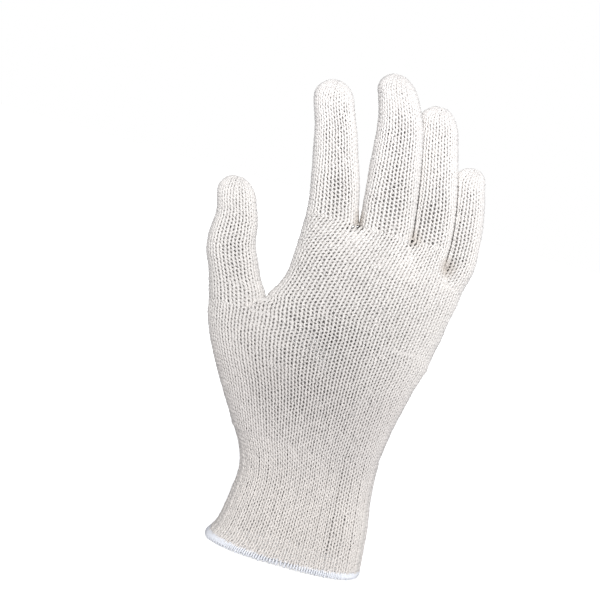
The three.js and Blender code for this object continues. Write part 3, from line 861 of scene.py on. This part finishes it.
class GloveKnitProps(bpy.types.PropertyGroup):
    """The yarn, the knit, the cotton and the hem."""
    yarn_thickness: length("Yarn thickness", "Diameter of the cotton string", 0.00137, 0.0005, 0.003)
    loop_rise: amount("Loop rise", "Half the height of a loop, in courses", 0.8, 0.3, 1.5)
    loop_lean: amount("Loop lean", "How far a loop's legs draw together at its foot, in wales",
                      0.2, 0.0, 0.3)
    loop_depth: length("Loop depth", "How far the legs stand in front of the mean cloth",
                       0.00042, 0.0, 0.002)
    rib_depth: length("Rib depth", "How far every other wale of the cuff stands forward",
                      0.00022, 0.0, 0.001)
    stand_off: length("Stand-off", "How far the yarn stands proud of the solid", 0.0002, 0.0, 0.001)
    pull_thinning: amount("Pull thinning", "How much thinner the yarn is where the knit is pulled open",
                          0.3, 0.0, 0.5)
    palm_tightness: amount("Palm tightness", "How much fuller the yarn lies on the relaxed palm side",
                           0.1, 0.0, 0.6)
    mottle: amount("Mottle", "Strength of the cotton's uneven tone", 0.8, 0.0, 1.0)
    # Tones up the glove: mostly painted light and shade over the cotton's own tone, the tips lightest, the
    # wrist darkest and the cuff greyer.
    tip_colour: colour("Tip colour", "Cotton, lighter mostly by painted light, at the fingertips", (0.96, 0.935, 0.915))
    finger_colour: colour("Finger colour", "Cotton, lighter mostly by painted light, of the fingers", (0.88, 0.855, 0.83))
    palm_colour: colour("Palm colour", "Cotton, darker mostly by painted shade, of the hand", (0.78, 0.755, 0.73))
    wrist_colour: colour("Wrist colour", "Cotton, darker mostly by painted shade, of the hand's lower end", (0.68, 0.65, 0.63))
    cuff_colour: colour("Cuff colour", "Cotton, darker mostly by painted shade, over elastic", (0.74, 0.705, 0.675))
    # Strength of the painted brown shade in the fingers' crotches.
    crotch_painted_shade: amount("Crotch shade", "Strength of the brown painted shade in the fingers' crotches",
                         0.5, 0.0, 1.0)
    hem_thread: length("Hem thread", "Diameter of the overlock thread", 0.00098, 0.0003, 0.002)
    hem_scallop: length("Hem scallop", "How much lower every other turn of the overlock thread hangs",
                        0.0006, 0.0, 0.002)
    hem_scatter: length("Hem scatter", "How unevenly the overlock thread hangs", 0.00022, 0.0, 0.001)
    hem_colour: colour("Hem colour", "Overlock thread", (0.78, 0.80, 0.85))


class GloveStageProps(bpy.types.PropertyGroup):
    """The lights and the floor."""
    key_strength: amount("Key light", "Strength of the wide soft light in front", 3.1, 0.0, 20.0)
    fill_strength: amount("Back fill", "Strength of the soft light behind the glove", 0.9, 0.0, 20.0)
    ambient_strength: amount("Surround", "Strength of the soft light from all round", 0.13, 0.0, 4.0)
    ambient_colour: colour("Surround colour", "Tint of the light from all round", (0.88, 0.89, 1.0))
    floor_colour: colour("Floor colour", "Plain pale floor", (0.93, 0.93, 0.93))
    floor_glow: amount("Floor glow", "How much whiter the floor looks to the camera", 0.7, 0.0, 1.0)


class GLOVE_OT_knit_fingers(bpy.types.Operator):
    """Knits the four fingers and the thumb."""
    bl_idname = "glove.knit_fingers"
    bl_label = "Knit fingers and thumb"

    def execute(self, context):
        props = context.scene.glove_knit
        # The fingers' tones: mostly painted light, lighter towards the tips.
        material = cotton("finger_cotton", props, props.palm_colour, props.finger_colour, props.tip_colour,
                          (120.0, 170.0, 215.0))
        rng = np.random.default_rng(SEED)
        for name, form in STALLS.items():
            sheet = stall_sheet(name)
            first = math.floor(course_at(form["fork"] - form["parting"])) + 1
            paths = []
            for course in range(first, math.floor(sheet.last) + 1):
                narrowness = sheet.narrowness(course)
                half = form["wales"] // 2
                kept = max(FEWEST_WALES, round(half * narrowness * NARROW_FULLNESS))
                if narrowness > NARROW_FROM:
                    kept = half
                path = loop_path(sheet, course, (kept, kept), props, rng, half / kept, sheet.offset)
                paths.append(path)
            finish_piece(yarn_mesh(name + "_knit", paths), material, "glove_knit", name)
        return {"FINISHED"}


class GLOVE_OT_knit_hand(bpy.types.Operator):
    """Knits the hand from the cuff to the fingers' forks."""
    bl_idname = "glove.knit_hand"
    bl_label = "Knit hand"

    def execute(self, context):
        props = context.scene.glove_knit
        # The hand's tones: mostly painted shade, darker towards the wrist.
        material = cotton("hand_cotton", props, props.wrist_colour, props.palm_colour, props.finger_colour,
                          (85.0, 120.0, 170.0))
        rng = np.random.default_rng(SEED + 1)
        heights = (CUFF_HEIGHT, THUMB_FORK - SIDE_PARTING, LITTLE_FORK - SIDE_PARTING, MAIN_FORK)
        for name, low, high in zip(("lower", "middle", "upper"), heights, heights[1:]):
            sheet = body_sheet(low, high)
            courses = range(math.floor(course_at(low)) + 1, math.floor(course_at(high)) + 1)
            paths = [loop_path(sheet, course, sheet.counts(course), props, rng) for course in courses]
            finish_piece(yarn_mesh("hand_knit_" + name, paths), material, "glove_knit", "palm")
        return {"FINISHED"}


class GLOVE_OT_knit_cuff(bpy.types.Operator):
    """Knits the ribbed cuff."""
    bl_idname = "glove.knit_cuff"
    bl_label = "Knit cuff"

    def execute(self, context):
        props = context.scene.glove_knit
        # The cuff's tones: mostly painted shade, greyer than the hand and fingers.
        material = cotton("cuff_cotton", props, props.cuff_colour, props.cuff_colour, props.wrist_colour,
                          (0.0, 30.0, 62.0))
        rng = np.random.default_rng(SEED + 2)
        sheet = body_sheet(0, CUFF_HEIGHT)
        last = math.floor(course_at(CUFF_HEIGHT)) + 1
        paths = []
        for course in range(0, last):
            rib = props.rib_depth / MM * min((last - course) / RIB_FADE, 1)
            paths.append(loop_path(sheet, course, sheet.counts(course), props, rng, rib=rib))
        finish_piece(yarn_mesh("cuff_knit", paths), material, "cuff_knit", "wrist_cuff")
        return {"FINISHED"}


class GLOVE_OT_overlock_hem(bpy.types.Operator):
    """Wraps the cuff's edge in overlock thread."""
    bl_idname = "glove.overlock_hem"
    bl_label = "Overlock hem"

    def execute(self, context):
        props = context.scene.glove_knit
        rng = np.random.default_rng(SEED + 3)
        shader = Shader("overlock_thread")
        shader.surface.inputs["Base Color"].default_value = colour4(props.hem_colour)
        shader.surface.inputs["Roughness"].default_value = 0.7
        t = np.arange(HEM_TURNS * HEM_POINTS) / HEM_POINTS
        turn = 2 * np.pi * t
        loose = rng.normal(0, props.hem_scatter / MM, HEM_TURNS)[np.floor(t).astype(int)]
        low = np.clip(-np.sin(turn), 0, 1)
        drop = low * (props.hem_scallop / MM * (0.5 + 0.5 * np.cos(turn / 2)) + np.abs(loose))
        z = HEM_MIDDLE + HEM_REACH * np.sin(turn) - drop
        out = HEM_WRAP * np.cos(turn)
        angle = np.pi / 2 - turn / HEM_TURNS
        side, face = np.sin(angle), np.cos(angle)
        side = np.sign(side) * np.abs(side) ** (2 / BROAD_POWER)
        face = np.sign(face) * np.abs(face) ** (2 / BROAD_POWER)
        form = cuff_section(np.clip(z, 0, HEM_HEIGHT))
        reach = HEM_INSET - out
        path = np.stack([form["x"] + (form["half"] - reach) * side, -(form["front"] - reach) * face, z], -1)
        middle = np.stack([form["x"] + (form["half"] - HEM_INSET) * side,
                           -(form["front"] - HEM_INSET) * face, 0 * z + HEM_MIDDLE], -1)
        radius = np.full(len(t), props.hem_thread / 2 / MM)
        piece = yarn_mesh("hem_thread", [(path, unit(path - middle), radius)])
        finish_piece(piece, shader.material, "overlock_thread", "hem_overlock")
        return {"FINISHED"}


# Stage, in metres
FLOOR_REACH = 6.0
FLOOR_DROP = 0.0012       # how far the floor lies under the cuff's edge, at the hanging thread
LIGHT_SPREAD = 50.0       # in degrees, which makes the shadows soft
KEY_PLACE = (0.1, -1.0, 0.55)
BACK_FILL_PLACE = (0.3, 1.0, 0.7)
CAMERA_ELEVATION, CAMERA_ROLL = 6.147, 15.828    # in degrees
CAMERA_TARGET, CAMERA_DISTANCE = (-0.014, 0.0, 0.118), 0.76
CAMERA_LENS, CAMERA_SENSOR = 92.37, 36.0         # in millimetres
CAMERA_SHIFT = (-0.0348, 0.0339)                 # places the glove in the picture as in the photo


class GLOVE_OT_stage(bpy.types.Operator):
    """Sets the floor, the lights and the camera."""
    bl_idname = "glove.stage"
    bl_label = "Stage"

    def execute(self, context):
        props = context.scene.glove_stage
        scene = context.scene
        around = ((-1, -1), (1, -1), (1, 1), (-1, 1))
        corners = [(x * FLOOR_REACH, y * FLOOR_REACH, -FLOOR_DROP) for x, y in around]
        mesh = bpy.data.meshes.new("floor")
        mesh.from_pydata(corners, [], [(0, 1, 2, 3)])
        floor = bpy.data.objects.new("floor", mesh)
        scene.collection.objects.link(floor)
        shader = Shader("floor")
        shader.surface.inputs["Base Color"].default_value = colour4(props.floor_colour)
        shader.surface.inputs["Roughness"].default_value = 0.9
        seen = shader.node("ShaderNodeLightPath", {}, output="Is Camera Ray")
        shader.feed(shader.surface.inputs["Emission Color"], seen)
        shader.surface.inputs["Emission Strength"].default_value = props.floor_glow
        mesh.materials.append(shader.material)

        world = bpy.data.worlds.new("surround")
        world.use_nodes = True
        tree = world.node_tree
        ambient = tree.nodes["Background"]
        ambient.inputs["Color"].default_value = colour4(props.ambient_colour)
        ambient.inputs["Strength"].default_value = props.ambient_strength
        white = tree.nodes.new("ShaderNodeBackground")
        white.inputs["Color"].default_value = (1, 1, 1, 1)
        seen = tree.nodes.new("ShaderNodeLightPath")
        mix = tree.nodes.new("ShaderNodeMixShader")
        tree.links.new(seen.outputs["Is Camera Ray"], mix.inputs[0])
        tree.links.new(ambient.outputs[0], mix.inputs[1])
        tree.links.new(white.outputs[0], mix.inputs[2])
        tree.links.new(mix.outputs[0], tree.nodes["World Output"].inputs[0])
        scene.world = world

        for name, strength, place in (("key", props.key_strength, KEY_PLACE),
                                      ("back_fill", props.fill_strength, BACK_FILL_PLACE)):
            light = bpy.data.objects.new(name, bpy.data.lights.new(name, "SUN"))
            light.data.energy = strength
            light.data.angle = math.radians(LIGHT_SPREAD)
            light.location = place
            light.rotation_euler = (-light.location).to_track_quat("-Z", "Y").to_euler()
            scene.collection.objects.link(light)

        elevation, roll = math.radians(CAMERA_ELEVATION), math.radians(CAMERA_ROLL)
        forward = Vector((0, math.cos(elevation), -math.sin(elevation)))
        up = Vector((0, math.sin(elevation), math.cos(elevation)))
        right = Vector((1, 0, 0))
        image_right = right * math.cos(roll) + up * math.sin(roll)
        image_up = up * math.cos(roll) - right * math.sin(roll)
        turn = Matrix((image_right, image_up, -forward)).transposed()
        place = Vector(CAMERA_TARGET) - forward * CAMERA_DISTANCE
        camera = bpy.data.objects.new("camera", bpy.data.cameras.new("camera"))
        camera.matrix_world = Matrix.Translation(place) @ turn.to_4x4()
        camera.data.lens = CAMERA_LENS
        camera.data.sensor_width = CAMERA_SENSOR
        camera.data.shift_x, camera.data.shift_y = CAMERA_SHIFT
        scene.collection.objects.link(camera)
        scene.camera = camera
        scene.view_settings.view_transform = "Standard"
        return {"FINISHED"}


class GLOVE_PT_panel(bpy.types.Panel):
    """The glove's sizes, colours and steps."""
    bl_label = "Cotton Work Glove"
    bl_idname = "GLOVE_PT_panel"
    bl_space_type = "VIEW_3D"
    bl_region_type = "UI"
    bl_category = "Glove"

    def draw(self, context):
        for group in (context.scene.glove_knit, context.scene.glove_stage):
            for key in group.__annotations__:
                self.layout.prop(group, key)
        for step in OPERATORS:
            self.layout.operator(step.bl_idname)


OPERATORS = (GLOVE_OT_knit_fingers, GLOVE_OT_knit_hand, GLOVE_OT_knit_cuff, GLOVE_OT_overlock_hem,
             GLOVE_OT_stage)
CLASSES = (GloveKnitProps, GloveStageProps, *OPERATORS, GLOVE_PT_panel)


def register():
    """Makes the classes and both groups of properties known to Blender."""
    for made in CLASSES:
        bpy.utils.register_class(made)
    bpy.types.Scene.glove_knit = bpy.props.PointerProperty(type=GloveKnitProps)
    bpy.types.Scene.glove_stage = bpy.props.PointerProperty(type=GloveStageProps)


def unregister():
    """Takes them out again."""
    del bpy.types.Scene.glove_stage
    del bpy.types.Scene.glove_knit
    for made in reversed(CLASSES):
        bpy.utils.unregister_class(made)


def main():
    """Builds every piece and the stage."""
    register()
    bpy.ops.glove.knit_fingers()
    bpy.ops.glove.knit_hand()
    bpy.ops.glove.knit_cuff()
    bpy.ops.glove.overlock_hem()
    bpy.ops.glove.stage()


if __name__ == "__main__":
    main()
